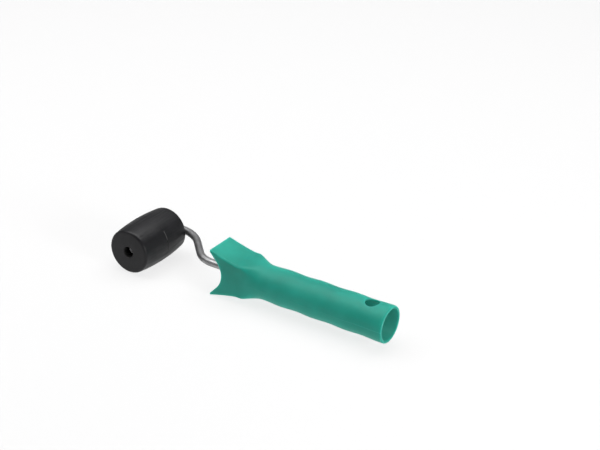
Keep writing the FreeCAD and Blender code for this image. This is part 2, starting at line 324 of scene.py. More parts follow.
class Look:
    """A node material: a Principled shader, and short calls for the nodes that feed it."""

    def __init__(self, name, roughness, metallic=0.0, specular=0.5):
        self.material = bpy.data.materials.new(name)
        self.material.use_nodes = True
        self.tree = self.material.node_tree
        self.shader = self.tree.nodes["Principled BSDF"]
        self.shader.inputs["Roughness"].default_value = roughness
        self.shader.inputs["Metallic"].default_value = metallic
        self.shader.inputs["Specular IOR Level"].default_value = specular
        self.place = self.node("ShaderNodeTexCoord").outputs["Object"]

    def node(self, kind, **settings):
        node = self.tree.nodes.new(kind)
        for key, value in settings.items():
            setattr(node, key, value)
        return node

    def mark(self, name, output="Fac"):
        return self.node("ShaderNodeAttribute", attribute_name=name).outputs[output]

    def link(self, source, target):
        self.tree.links.new(source, target)

    def stretched(self, source, scale):
        node = self.node("ShaderNodeMapping")
        node.inputs["Scale"].default_value = scale
        self.link(source, node.inputs["Vector"])
        return node.outputs["Vector"]

    def part(self, source, axis):
        node = self.node("ShaderNodeSeparateXYZ")
        self.link(source, node.inputs[0])
        return node.outputs[axis]

    def noise(self, scale, detail=3.0, rough=0.5, source=None):
        """Noise with about `scale` lumps to the metre."""
        node = self.node("ShaderNodeTexNoise")
        node.inputs["Scale"].default_value = scale
        node.inputs["Detail"].default_value = detail
        node.inputs["Roughness"].default_value = rough
        self.link(source or self.place, node.inputs["Vector"])
        return node.outputs["Fac"]

    def spread(self, source, low, high, to_low=0.0, to_high=1.0):
        node = self.node("ShaderNodeMapRange")
        node.inputs["From Min"].default_value = low
        node.inputs["From Max"].default_value = high
        node.inputs["To Min"].default_value = to_low
        node.inputs["To Max"].default_value = to_high
        self.link(source, node.inputs["Value"])
        return node.outputs["Result"]

    def maths(self, operation, first, second=0.0):
        node = self.node("ShaderNodeMath", operation=operation)
        for socket, value in zip(node.inputs, (first, second)):
            if isinstance(value, (int, float)):
                socket.default_value = value
            else:
                self.link(value, socket)
        return node.outputs["Value"]

    def mix(self, share, first, second):
        node = self.node("ShaderNodeMix", data_type="RGBA")
        self.link(share, node.inputs["Factor"])
        for key, value in (("A", first), ("B", second)):
            socket = next(s for s in node.inputs if s.name == key and s.type == "RGBA")
            if isinstance(value, tuple):
                socket.default_value = (*value, 1.0)
            else:
                self.link(value, socket)
        return next(s for s in node.outputs if s.type == "RGBA")

    def colour(self, source):
        self.link(source, self.shader.inputs["Base Color"])

    def roughness(self, source):
        self.link(source, self.shader.inputs["Roughness"])

    def bump(self, *layers):
        """Each layer is (height source, depth in metres at full height)."""
        below = None
        for source, depth in layers:
            node = self.node("ShaderNodeBump")
            node.inputs["Strength"].default_value = 1.0
            node.inputs["Distance"].default_value = depth
            self.link(source, node.inputs["Height"])
            if below:
                self.link(below, node.inputs["Normal"])
            below = node.outputs["Normal"]
        self.link(below, self.shader.inputs["Normal"])


def handle_look():
    """Moulded polypropylene: turquoise green, satin, with faint flow clouds, a fine mould grain, a painted
    highlight along the parting line and painted fill light inside the tube.
    """
    look = Look("handle_plastic", 0.5, specular=0.2)
    clouds = look.noise(38.0, detail=4.0)
    grain = look.noise(1900.0, detail=2.0)
    flow = look.noise(14.0, detail=2.0, source=look.stretched(look.place, (0.35, 1.0, 1.0)))
    tint = look.mix(look.spread(clouds, 0.35, 0.65), (0.0125, 0.256, 0.197), (0.0195, 0.324, 0.251))
    tint = look.mix(look.spread(flow, 0.45, 0.75, 0.0, 0.35), tint, (0.0235, 0.342, 0.269))
    # painted highlight: the parting line's ridge is coloured lighter, more so towards the rear
    tint = look.mix(look.maths("MULTIPLY", look.mark("seam_highlight"), 0.6), tint, (0.06, 0.42, 0.36))
    # painted fill light: points inside the tube are coloured paler and lighter than the outside
    look.colour(look.mix(look.maths("MULTIPLY", look.mark("inside"), 0.8), tint, (0.05, 0.312, 0.256)))
    look.roughness(look.spread(clouds, 0.3, 0.7, 0.44, 0.56))
    look.bump((flow, 0.00022), (grain, 0.000012))
    shader = look.shader
    shader.inputs["Subsurface Weight"].default_value = 0.8
    shader.inputs["Subsurface Radius"].default_value = (0.7, 1.0, 0.97)
    shader.inputs["Subsurface Scale"].default_value = 0.008
    return look.material


def rubber_look():
    """Moulded black rubber: dull, slightly bloomed, with a fine grain; a painted highlight and painted shade along
    the flash line, and painted light on the front hole's wall.
    """
    look = Look("black_rubber", 0.5, specular=0.25)
    flash = look.mark("flash")
    streaks = look.noise(1100.0, detail=2.0, source=look.stretched(look.place, (1.0, 0.03, 1.0)))
    bloom = look.noise(60.0, detail=5.0, rough=0.6)
    grain = look.noise(2600.0, detail=3.0)
    pits = look.noise(700.0, detail=2.0)
    skin = look.mix(look.spread(bloom, 0.35, 0.7), (0.0062, 0.0062, 0.0074), (0.0132, 0.0132, 0.0150))
    # painted highlight: the proud flash at the gate is coloured light grey, standing in for light caught on its
    # ridge
    skin = look.mix(look.spread(flash, 0.1, 0.7), skin, (0.085, 0.085, 0.085))
    # painted shade: the torn flash beside the gate is coloured near black, standing in for shade in its groove
    skin = look.mix(look.spread(flash, -0.1, -0.7), skin, (0.003, 0.003, 0.003))
    # painted light: the front hole's wall is coloured lighter than the rubber skin
    look.colour(look.mix(look.mark("painted_light_bore"), skin, (0.02, 0.02, 0.02)))
    polished = look.mark("polished")
    dull = look.spread(streaks, 0.38, 0.62, 0.40, 0.56)
    look.roughness(look.maths("SUBTRACT", dull, look.maths("MULTIPLY", polished, 0.12)))
    front = ORIGIN.y + MM * ROLLER_FRONT
    lined = look.spread(look.part(look.place, "Y"), front, front + MM * ROLLER_LENGTH, 0.5, 1.9)
    lined = look.maths("MULTIPLY", lined, look.maths("SUBTRACT", 1.0, polished))
    relief = look.maths("MULTIPLY", look.maths("SUBTRACT", streaks, 0.5), lined)
    look.bump((relief, 0.00013), (pits, 0.00002), (grain, 0.00001))
    return look.material


def wire_look():
    """Zinc-plated drawn wire: dull grey metal with lengthwise drawing lines and faint blotches."""
    look = Look("zinc_wire", 0.34, metallic=1.0)
    rolled = look.mark("rolled", "Vector")
    lines = look.noise(9.0, detail=4.0, rough=0.7, source=look.stretched(rolled, (0.04, 1.0, 1.0)))
    blotches = look.noise(240.0, detail=3.0)
    cut_end = look.spread(look.part(rolled, "X"), 0.5, 0.8, 1.0, 0.0)
    plate = look.mix(look.spread(blotches, 0.35, 0.65), (0.27, 0.27, 0.276), (0.37, 0.37, 0.376))
    look.colour(look.mix(cut_end, plate, (0.62, 0.62, 0.63)))
    drawn = look.spread(lines, 0.3, 0.7, 0.38, 0.52)
    look.roughness(look.maths("MAXIMUM", drawn, look.maths("MULTIPLY", cut_end, 0.85)))
    look.bump((lines, 0.00004))
    return look.material


def metal_look(name, dark, light, roughness):
    """Small turned or stamped steel piece with fine turning marks."""
    look = Look(name, roughness, metallic=1.0)
    marks = look.noise(900.0, detail=3.0, source=look.stretched(look.place, (0.2, 3.0, 0.2)))
    blotches = look.noise(400.0)
    look.colour(look.mix(look.spread(blotches, 0.35, 0.65), dark, light))
    look.roughness(look.spread(marks, 0.3, 0.7, roughness - 0.06, roughness + 0.08))
    look.bump((marks, 0.00001))
    return look.material


def hard_plastic_look(name, dark, light, roughness):
    """Plain moulded engineering plastic with a slight mottle and fine grain."""
    look = Look(name, roughness)
    clouds = look.noise(180.0, detail=4.0)
    grain = look.noise(2400.0)
    look.colour(look.mix(look.spread(clouds, 0.35, 0.65), dark, light))
    look.roughness(look.spread(clouds, 0.3, 0.7, roughness - 0.05, roughness + 0.05))
    look.bump((grain, 0.000008))
    return look.material


# -------- roller


def tyre_outline():
    """Rubber section: front web and hole, crowned outside with a flash line, room for the sleeve."""
    half = ROLLER_LENGTH / 2
    sag = CROWN_RADIUS - CROWN_END_RADIUS
    bow = (half ** 2 + sag ** 2) / (2 * sag)

    def crown(along):
        return CROWN_RADIUS - bow + math.sqrt(bow ** 2 - (along - half) ** 2)

    run = half - FLASH_WIDTH - CROWN_EDGE
    stops = [CROWN_EDGE + run * k / CROWN_STEPS for k in range(1, CROWN_STEPS + 1)]
    crest = [
        (crown(half) + share * (REST_HEIGHT - CROWN_RADIUS), half + side * FLASH_WIDTH, 0.0)
        for side, share in FLASH_SECTION
    ]
    rear = ROLLER_LENGTH - SLEEVE_GAP
    corners = [(FRONT_HOLE, 0.0, SOFT_EDGE), (CROWN_END_RADIUS - END_DROP, 0.0, CROWN_EDGE)]
    corners += [(crown(along), along, 0.0) for along in stops]
    corners += crest
    corners += [(crown(along), ROLLER_LENGTH - along, 0.0) for along in reversed(stops)]
    corners += [
        (CROWN_END_RADIUS - END_DROP, ROLLER_LENGTH, CROWN_EDGE),
        (SLEEVE_RADIUS, ROLLER_LENGTH, PLAIN_EDGE),
        (SLEEVE_RADIUS, rear, 0.0),
        (SLEEVE_RADIUS, WEB, 0.0),
        (FRONT_HOLE, WEB, PLAIN_EDGE),
    ]
    return rounded(corners, steps=TYRE_EDGE_STEPS)


def tyre_lift(along, angle):
    """The flash line is uneven round the crown: proud at the gate, and torn out beside it."""
    if abs(along - ROLLER_LENGTH / 2) > FLASH_WIDTH / 2:
        return 0.0
    wear = FLASH_WAVER * math.sin(5 * angle + 0.7) * math.sin(13 * angle) - FLASH_WEAR
    gate = GATE_RISE * near(angle, GATE_ANGLE, GATE_HALF)
    return wear + gate - SPLIT_DEPTH * near(angle, SPLIT_ANGLE, SPLIT_HALF)


def near(angle, middle, half):
    """1 within an angle of a middle angle, falling to 0 over the next MARK_FADE."""
    apart = abs((angle - middle + math.pi) % (2 * math.pi) - math.pi)
    return 1.0 - min(1.0, max(0.0, (apart - half) / MARK_FADE))


def mark_rubber(piece):
    """Keeps marks on the barrel's points: where the flash line is proud (1, painted highlight) or torn (-1,
    painted shade), polished rims, and the front hole's wall, which gets painted light.
    """
    flash = piece.data.attributes.new("flash", "FLOAT", "POINT")
    polish = piece.data.attributes.new("polished", "FLOAT", "POINT")
    painted_light_bore = piece.data.attributes.new("painted_light_bore", "FLOAT", "POINT")
    for vertex, painted_flash_value, shine, dark in zip(piece.data.vertices, flash.data, polish.data, painted_light_bore.data):
        x, y, z = (vertex.co - ORIGIN) / MM
        from_end = min(y - ROLLER_FRONT, ROLLER_FRONT + ROLLER_LENGTH - y)
        on_crown = math.hypot(x, z) > CROWN_END_RADIUS - CROWN_EDGE
        on_flash = on_crown and ROLLER_LENGTH / 2 - from_end < FLASH_WIDTH / 3
        angle = math.atan2(z, x)
        # the real ridge at the gate gets a painted highlight, the real groove beside it gets painted shade
        proud = near(angle, GATE_ANGLE, GATE_HALF) - near(angle, SPLIT_ANGLE, SPLIT_HALF)
        painted_flash_value.value = proud if on_flash else 0.0
        shine.value = 1.0 if on_crown and CROWN_EDGE / 5 < from_end < CROWN_EDGE else 0.0
        # the front hole's wall, which gets painted light
        dark.value = 1.0 if math.hypot(x, z) < FRONT_HOLE + BORE_MARGIN else 0.0


def sleeve_outline(pocket_front, pocket_rear):
    """Tube with a pocket at each end for a bush's flange, and a seat between them."""
    return rounded([
        (POCKET_RADIUS, WEB + FIT, FINE_EDGE),
        (SLEEVE_RADIUS - FIT, WEB + FIT, FINE_EDGE),
        (SLEEVE_RADIUS - FIT, ROLLER_LENGTH - SLEEVE_GAP, PLAIN_EDGE),
        (POCKET_RADIUS, ROLLER_LENGTH - SLEEVE_GAP, SOFT_EDGE),
        (POCKET_RADIUS, pocket_rear, FINE_EDGE),
        (BUSH_RADIUS, pocket_rear, FINE_EDGE),
        (BUSH_RADIUS, pocket_front, FINE_EDGE),
        (POCKET_RADIUS, pocket_front, FINE_EDGE),
    ])


def washer_outline(start, end):
    corners = [(WASHER_BORE, start), (WASHER_RADIUS, start), (WASHER_RADIUS, end), (WASHER_BORE, end)]
    return rounded([(*corner, WASHER_EDGE) for corner in corners])


def collar_outline():
    """Collar pressed on the wire, with a well rounded rear edge."""
    start, end = node_span("stop_collar")
    radius = drawn_box("stop_collar")[1].x
    return rounded([
        (WIRE_RADIUS - FIT, start, 0.0),
        (radius, start, COLLAR_FRONT_EDGE),
        (radius, end, COLLAR_REAR_EDGE),
        (WIRE_RADIUS - FIT, end, 0.0),
    ])


def node_span(node):
    """Where a node starts and ends behind the roller's front face."""
    low, high = drawn_box(node)
    return low.y - ROLLER_FRONT, high.y - ROLLER_FRONT


def bush_outline(start, end, flange_start, flange_end):
    """Flanged bush; the flange takes one end of its length."""
    if flange_start == start:
        return rounded([
            (BUSH_BORE, start, SOFT_EDGE), (FLANGE_RADIUS, start, PLAIN_EDGE),
            (FLANGE_RADIUS, flange_end, FINE_EDGE), (BUSH_RADIUS, flange_end, FINE_EDGE),
            (BUSH_RADIUS, end, NOSE_EDGE), (BUSH_BORE, end, PLAIN_EDGE),
        ])
    return rounded([
        (BUSH_BORE, start, PLAIN_EDGE), (BUSH_RADIUS, start, NOSE_EDGE),
        (BUSH_RADIUS, flange_start, FINE_EDGE), (FLANGE_RADIUS, flange_start, FINE_EDGE),
        (FLANGE_RADIUS, end, PLAIN_EDGE), (BUSH_BORE, end, SOFT_EDGE),
    ])


def make_roller():
    """The parts that turn: rubber barrel, sleeve and two bushes."""
    tyre = turned_on_roller_axis(tyre_outline(), TYRE_SEGMENTS, tyre_lift)
    barrel = make_piece("rubber_barrel", tyre, rubber_look(), "roller", "roller_tyre")
    mark_rubber(barrel)
    front_start, front_end = node_span("front_bush")
    rear_start, rear_end = node_span("rear_bush")
    front_seat = front_start + FLANGE_THICKNESS
    rear_seat = rear_end - FLANGE_THICKNESS
    sleeve = turned_on_roller_axis(sleeve_outline(front_seat, rear_seat), SLEEVE_SEGMENTS)
    sleeve_plastic = hard_plastic_look("sleeve_plastic", (0.016, 0.016, 0.018), (0.026, 0.026, 0.028), 0.5)
    make_piece("sleeve", sleeve, sleeve_plastic, "roller", "roller_sleeve")
    bush_plastic = hard_plastic_look("bush_plastic", (0.62, 0.61, 0.56), (0.70, 0.69, 0.64), 0.35)
    front = bush_outline(front_start, front_end, front_start, front_seat)
    rear = bush_outline(rear_start, rear_end, rear_seat, rear_end)
    for name, node, outline in (("bush_front", "front_bush", front), ("bush_rear", "rear_bush", rear)):
        bush = turned_on_roller_axis(outline, SMALL_SEGMENTS)
        make_piece(name, bush, bush_plastic, "roller", node)


def make_axle_fittings():
    """The small parts on the axle. The push nut keeps its CAD shape and gets a material here."""
    washer_steel = metal_look("washer_steel", (0.42, 0.42, 0.42), (0.56, 0.56, 0.56), 0.3)
    for name, node in (("washer_front", "front_thrust_washer"), ("washer_rear", "rear_thrust_washer")):
        washer = turned_on_roller_axis(washer_outline(*node_span(node)), SMALL_SEGMENTS)
        make_piece(name, washer, washer_steel, "frame", node)
    collar = turned_on_roller_axis(collar_outline(), SMALL_SEGMENTS)
    collar_steel = metal_look("collar_steel", (0.33, 0.33, 0.33), (0.46, 0.46, 0.46), 0.32)
    make_piece("collar", collar, collar_steel, "frame", "stop_collar")
    spring_steel = metal_look("spring_steel", (0.10, 0.10, 0.105), (0.17, 0.17, 0.18), 0.38)
    nut = frame["nodes"]["push_nut"]
    nut.data.materials.clear()
    nut.data.materials.append(spring_steel)


# -------- wire arm


def arm_moves():
    """The wire as runs and bends (length, turn in radians), from its tip in the roller to its other end."""
    offset = WIRE_HIGH.y - WIRE_RADIUS
    drop_first = FIRST_BEND_RADIUS * (1 - math.cos(DIAGONAL_ANGLE))
    drop_second = SECOND_BEND_RADIUS * (1 - math.cos(DIAGONAL_ANGLE))
    diagonal = (offset - drop_first - drop_second) / math.sin(DIAGONAL_ANGLE)
    end_of_bends = (
        FIRST_BEND_X
        + (FIRST_BEND_RADIUS + SECOND_BEND_RADIUS) * math.sin(DIAGONAL_ANGLE)
        + diagonal * math.cos(DIAGONAL_ANGLE)
    )
    return [
        (offset - ELBOW_RADIUS - WIRE_LOW.y, 0.0),
        (ELBOW_RADIUS * math.pi / 2, -math.pi / 2),
        (FIRST_BEND_X - ELBOW_RADIUS, 0.0),
        (FIRST_BEND_RADIUS * DIAGONAL_ANGLE, -DIAGONAL_ANGLE),
        (diagonal, 0.0),
        (SECOND_BEND_RADIUS * DIAGONAL_ANGLE, DIAGONAL_ANGLE),
        (WIRE_HIGH.x - end_of_bends, 0.0),
    ]


def arm_line():
    """Points (x, y, heading, distance, squeeze) along the wire. Squeeze is how hard it is bent there."""
    x, y, heading, distance = 0.0, WIRE_LOW.y, math.pi / 2, 0.0
    line = [(x, y, heading, distance, 0.0)]
    for length, turn in arm_moves():
        count = max(1, math.ceil(length / WIRE_STEP), math.ceil(abs(turn) / BEND_STEP))
        for _ in range(count):
            middle = heading + turn / count / 2
            chord = length / count
            if turn:
                chord *= math.sin(turn / count / 2) / (turn / count / 2)
            x += chord * math.cos(middle)
            y += chord * math.sin(middle)
            heading += turn / count
            distance += length / count
            squeeze = min(1.0, ELBOW_RADIUS * abs(turn) / length)
            line.append((x, y, heading, distance, squeeze))
    return line


def wire_stations():
    """Rings along the wire (x, y, heading, distance, scale, squeeze), from its chamfered tip."""
    line = arm_line()
    tip_x, tip_y, tip_heading, _, _ = line[0]
    face = WIRE_RADIUS - WIRE_CHAMFER
    tip = ((0.0, face), (CHAMFER_BACK, face + CHAMFER_RISE), (WIRE_CHAMFER, WIRE_RADIUS))
    stations = [(tip_x, tip_y + back, tip_heading, back, radius / WIRE_RADIUS, 0.0) for back, radius in tip]
    for x, y, heading, distance, squeeze in line[1:]:
        stations.append((x, y, heading, distance, 1.0, squeeze))
    return stations


def make_wire():
    """The wire arm. Its points also keep where they were on the straight wire, for the drawing lines."""
    shell = Shell()
    rolled = []
    rings = []
    for x, y, heading, distance, scale, squeeze in wire_stations():
        pressed = ear_share(x)
        wide = scale * (1 - BEND_THINS * squeeze) * (1 + pressed * (EAR_THICKNESS / 2 / WIRE_RADIUS - 1))
        tall = scale * (1 + BEND_SPREADS * squeeze) * (1 + pressed * (EAR_SPAN / 2 / WIRE_RADIUS - 1))
        ring = []
        for k in range(WIRE_AROUND):
            angle = 2 * math.pi * k / WIRE_AROUND
            side = wide * WIRE_RADIUS * math.cos(angle)
            up = tall * WIRE_RADIUS * math.sin(angle)
            ring.append((x - side * math.sin(heading), y + side * math.cos(heading), up))
            rolled.append((distance, WIRE_RADIUS * math.cos(angle), WIRE_RADIUS * math.sin(angle)))
        rings.append(shell.loop(ring))
    shell.skin(rings)
    shell.cap(rings[0])
    shell.cap(rings[-1])
    wire = make_piece("wire", shell, wire_look(), "frame", "wire_arm")
    attribute = wire.data.attributes.new("rolled", "FLOAT_VECTOR", "POINT")
    attribute.data.foreach_set("vector", np.array(rolled, np.float32).ravel())


def ear_share(x):
    """0 on the round wire, 1 on the pressed ears, smooth between."""
    inside = min(x - EAR_X, EAR_X + EAR_LENGTH - x)
    share = min(1.0, max(0.0, inside / EAR_BLEND + 0.5))
    return share * share * (3 - 2 * share)


# -------- handle


def grip_radius_at(x):
    """The grip swells and narrows in shallow waves that fade towards the rear."""
    share = (x - BLEND_END) / (HANDLE_END - BLEND_END)
    height = WAVE_FRONT + (WAVE_REAR - WAVE_FRONT) * share
    radius = GRIP_FRONT_RADIUS + (GRIP_REAR_RADIUS - GRIP_FRONT_RADIUS) * share
    return radius + height * math.cos(2 * math.pi * (x - WAVE_CREST_X) / WAVE_PERIOD)


def head_half_height(x):
    """The head flares from the neck to the tips, which reach the plane that the tool rests on."""
    share = min(1.0, max(0.0, (SHOULDER_X - x) / (SHOULDER_X - TIP_X)))
    return SHOULDER_HALF_HEIGHT + (REST_HEIGHT - SHOULDER_HALF_HEIGHT) * share ** FLARE_POWER


def notch_x(z):
    """Where the round notch between the tips has its surface, at height z."""
    lip_x = NOTCH_BOTTOM_X - NOTCH_RADIUS * (1 - math.cos(NOTCH_LIP_ANGLE))
    lip_z = NOTCH_RADIUS * math.sin(NOTCH_LIP_ANGLE)
    if abs(z) <= lip_z:
        return NOTCH_BOTTOM_X - NOTCH_RADIUS + math.sqrt(NOTCH_RADIUS ** 2 - z ** 2)
    share = min(1.0, (abs(z) - lip_z) / (REST_HEIGHT - TIP_LAND - lip_z))
    return lip_x + (TIP_X - lip_x) * share


def on_circle(place, radius):
    """Point (y, z) at a ring place on a circle about the handle axis."""
    angle = 2 * math.pi * (place - SIDE_STEPS / 2) / AROUND
    return np.array((-math.cos(angle), math.sin(angle))) * radius


def on_head(x, place):
    """Point (y, z) and outward direction on the head's rounded rectangle at x."""
    quarter, step = divmod(place % AROUND, QUARTER)
    quarter = int(quarter)
    outward = np.array(((-1, 0), (0, 1), (1, 0), (0, -1))[quarter], float)
    onward = np.array(((0, 1), (1, 0), (0, -1), (-1, 0))[quarter], float)
    share = min(1.0, max(0.0, (x - TIP_X) / (SHOULDER_X - TIP_X)))
    height = head_half_height(x)
    width = TIP_HALF_WIDTH + (SHOULDER_HALF_WIDTH - TIP_HALF_WIDTH) * share
    reach, run = (width, height) if quarter % 2 == 0 else (height, width)
    corner = CORNER_FRONT + (CORNER_REAR - CORNER_FRONT) * share
    if step <= SIDE_STEPS:
        along = (2 * step / SIDE_STEPS - 1) * (run - corner)
        return outward * reach + onward * along, outward
    turn = math.pi / 2 * (step - SIDE_STEPS) / CORNER_STEPS
    direction = outward * math.cos(turn) + onward * math.sin(turn)
    return outward * (reach - corner) + onward * (run - corner) + direction * corner, direction


def on_skin(x, place):
    """Point (x, y, z) on the handle's outer skin. The head's corners melt into the round neck."""
    share = min(1.0, max(0.0, (x - BLEND_START) / (BLEND_END - BLEND_START))) ** BLEND_BIAS
    share = share * share * (3 - 2 * share)
    y, z = (1 - share) * on_head(x, place)[0] + share * on_circle(place, grip_radius_at(x))
    if place in SEAM_PLACES:
        y *= 1 + SEAM_HEIGHT * (0.5 + 0.5 * share) / abs(y)
    return x, y, z


def front_place(place):
    """Where along X the skin meets the notch at a ring place."""
    x = NOTCH_BOTTOM_X
    for _ in range(SETTLING_ROUNDS):
        x = notch_x(on_head(x, place)[0][1])
    return x


def punch(shell, loop, coordinates, circle, layers, place):
    """Fills between a loop and a hole inside it with rings of faces. Returns the ring round the hole."""
    outer = np.array(coordinates)
    inner = np.array(circle)
    rings = [loop]
    for layer in range(1, layers + 1):
        between = outer + (inner - outer) * (layer / layers)
        rings.append(shell.loop([place(*pair) for pair in between]))
    shell.skin(rings)
    return rings[-1]


def quarter_turn(steps):
    """Angles of a quarter turn in even steps, without its start."""
    return [math.pi / 2 * step / steps for step in range(1, steps + 1)]


def skip_grid(rows, columns, skip):
    """Cells (row, column) of a grid that lie outside the skipped block (row, row, column, column)."""
    low_row, high_row, low_column, high_column = skip
    for row in range(rows):
        for column in range(columns):
            if low_row <= row < high_row and low_column <= column < high_column:
                continue
            yield row, column


def block_edge(low_row, high_row, low_column, high_column):
    """Grid places round the edge of a block, in order."""
    edge = [(low_row, column) for column in range(low_column, high_column)]
    edge += [(row, high_column) for row in range(low_row, high_row)]
    edge += [(high_row, column) for column in range(high_column, low_column, -1)]
    edge += [(row, low_column) for row in range(high_row, low_row, -1)]
    return edge


def make_front(shell):
    """Head's rounded front edge and what lies inside it. Returns the skin's first ring and the edge's x."""
    edge_x = [front_place(place) for place in RING_PLACES]
    skin_ring, sharp_ring, face_ring = [], [], []
    for x, place in zip(edge_x, RING_PLACES):
        (y, z), outward = on_head(x, place)
        inner = np.array((y, z)) - FRONT_EDGE * outward
        skin_ring.append(np.array(on_skin(x + FRONT_EDGE, place)))
        sharp_ring.append(np.array((x, y, z)))
        face_ring.append(np.array((notch_x(inner[1]), *inner)))
    rings = []
    for step in range(EDGE_STEPS + 1):
        t = step / EDGE_STEPS
        rings.append(shell.loop([
            (1 - t) ** 2 * a + 2 * t * (1 - t) * b + t * t * c
            for a, b, c in zip(skin_ring, sharp_ring, face_ring)
        ]))
    shell.skin(rings)
    fill_notch(shell, rings[-1])
    return rings[0], edge_x


def notch_sides(ring):
    """The ring round the notch as four sides: left and right upwards, low and high from left to right."""
    at = {place: index for place, index in zip(RING_PLACES, ring)}
    turn = SIDE_STEPS + CORNER_STEPS / 2
    left = between_places(turn + 3 * QUARTER - AROUND, turn)
    high = between_places(turn, turn + QUARTER)
    right = between_places(turn + QUARTER, turn + 2 * QUARTER)[::-1]
    low = between_places(turn + 2 * QUARTER, turn + 3 * QUARTER)[::-1]
    return [[at[place % AROUND] for place in side] for side in (left, right, low, high)]


def fill_notch(shell, ring):
    """Grid of faces across the notch, inside a ring of points, with the socket's mouth in the middle."""
    sides = notch_sides(ring)
    left, right, low, high = sides
    rows, columns = len(left) - 1, len(low) - 1
    flat = [[np.array(shell.points[index][1:]) for index in side] for side in sides]
    block = (
        rows // 2 - SOCKET_ROWS,
        rows // 2 + SOCKET_ROWS,
        columns // 2 - SOCKET_COLUMNS,
        columns // 2 + SOCKET_COLUMNS,
    )
    grid = {}
    for row in range(rows + 1):
        for column in range(columns + 1):
            if column in (0, columns):
                grid[row, column] = (left, right)[column > 0][row]
            elif row in (0, rows):
                grid[row, column] = (low, high)[row > 0][column]
            elif not (block[0] < row < block[1] and block[2] < column < block[3]):
                y, z = coons(flat, row, column, column / columns, row / rows)
                grid[row, column] = shell.loop([(notch_x(z), y, z)])[0]
    for row, column in skip_grid(rows, columns, block):
        shell.faces.append((
            grid[row, column], grid[row, column + 1], grid[row + 1, column + 1], grid[row + 1, column],
        ))
    add_socket(shell, [grid[place] for place in block_edge(*block)])


def add_socket(shell, loop):
    """Blind hole for the wire, with a rounded lip, inside a loop of points on the notch's face."""
    coordinates = [shell.points[index][1:] for index in loop]
    angles = [math.atan2(z, y) for y, z in coordinates]
    reach = SOCKET_RADIUS + SOCKET_LIP
    circle = [(reach * math.cos(a), reach * math.sin(a)) for a in angles]
    mouth = punch(shell, loop, coordinates, circle, SOCKET_LAYERS, lambda y, z: (notch_x(z), y, z))
    for turn in quarter_turn(LIP_STEPS):
        radius = SOCKET_RADIUS + SOCKET_LIP * (1 - math.sin(turn))
        depth = SOCKET_LIP * (1 - math.cos(turn))
        lip = shell.loop([
            (notch_x(radius * math.sin(a)) + depth, radius * math.cos(a), radius * math.sin(a))
            for a in angles
        ])
        shell.bridge(mouth, lip)
        mouth = lip
    end = shell.loop([
        (SOCKET_END, SOCKET_RADIUS * math.cos(a), SOCKET_RADIUS * math.sin(a)) for a in angles
    ])
    shell.bridge(mouth, end)
    shell.cap(end)


def between_places(start, end):
    """Ring places from start to end, which may begin below zero."""
    unrolled = [place + turn for turn in (-AROUND, 0, AROUND) for place in RING_PLACES]
    return [place for place in unrolled if start <= place <= end]


def coons(flat, row, column, s, t):
    """Point inside four boundary curves: left and right by row, low and high by column."""
    left, right, low, high = flat
    sides = (1 - s) * left[row] + s * right[row] + (1 - t) * low[column] + t * high[column]
    low_corners = (1 - s) * (1 - t) * left[0] + s * (1 - t) * right[0]
    return sides - (low_corners + (1 - s) * t * left[-1] + s * t * right[-1])


def spaced(start, end, count):
    """Even steps from start to end, without the start."""
    return [start + (end - start) * k / count for k in range(1, count + 1)]


def hole_rows(stations):
    """Rows of the block that the hanging hole is punched in."""
    inside = [k for k, x in enumerate(stations) if abs(x - HANG_X) < HANG_BLOCK_REACH]
    return inside[0] - 1, inside[-1] + 1


def hole_columns(middle):
    """Columns of the block that a hanging hole is punched in, about a ring place."""
    return RING_PLACES.index(middle - HANG_COLUMNS), RING_PLACES.index(middle + HANG_COLUMNS)


def punch_wall(shell, rings, stations, radius_at, inward):
    """Punches the hanging hole through a wall's grid, top and bottom. Returns the holes' edge loops."""
    return [punch_hole(shell, rings, stations, radius_at, inward, middle) for middle in HANG_PLACES]


def punch_hole(shell, rings, stations, radius_at, inward, middle):
    """One hole with a rounded edge, about a ring place. Returns its edge loop."""
    sign = 1 if middle < AROUND / 2 else -1

    def place(x, bend):
        radius = radius_at(x)
        return x, radius * math.sin(bend), sign * radius * math.cos(bend)

    edge = block_edge(*hole_rows(stations), *hole_columns(middle))
    coordinates = []
    for row, column in edge:
        y, z = on_circle(RING_PLACES[column], radius_at(stations[row]))
        coordinates.append((stations[row], math.atan2(y, sign * z)))
    angles = [math.atan2(bend * GRIP_REAR_RADIUS, x - HANG_X) for x, bend in coordinates]
    reach = HANG_RADIUS + HANG_EDGE
    circle = []
    for a in angles:
        x = HANG_X + reach * math.cos(a)
        circle.append((x, math.asin(reach * math.sin(a) / radius_at(x))))
    loop = [rings[row][column] for row, column in edge]
    ring = punch(shell, loop, coordinates, circle, HANG_LAYERS, place)
    for turn in quarter_turn(LIP_STEPS):
        radius = HANG_RADIUS + HANG_EDGE * (1 - math.sin(turn))
        depth = inward * HANG_EDGE * (1 - math.cos(turn))
        points = []
        for a in angles:
            x, y = HANG_X + radius * math.cos(a), radius * math.sin(a)
            points.append((x, y, sign * (math.sqrt(radius_at(x) ** 2 - y ** 2) - depth)))
        nearer = shell.loop(points)
        shell.bridge(ring, nearer)
        ring = nearer
    return ring


def lay_rings(shell, rings, stations):
    """Faces between neighbouring rings, apart from the blocks round the hanging holes."""
    low_row, high_row = hole_rows(stations)
    count = len(RING_PLACES)
    blocked = set()
    for middle in HANG_PLACES:
        first, last = hole_columns(middle)
        blocked |= {(row, column) for row in range(low_row, high_row) for column in range(first, last)}
    for row in range(len(rings) - 1):
        for column in range(count):
            if (row, column) not in blocked:
                after = (column + 1) % count
                shell.faces.append((
                    rings[row][column], rings[row][after], rings[row + 1][after], rings[row + 1][column],
                ))


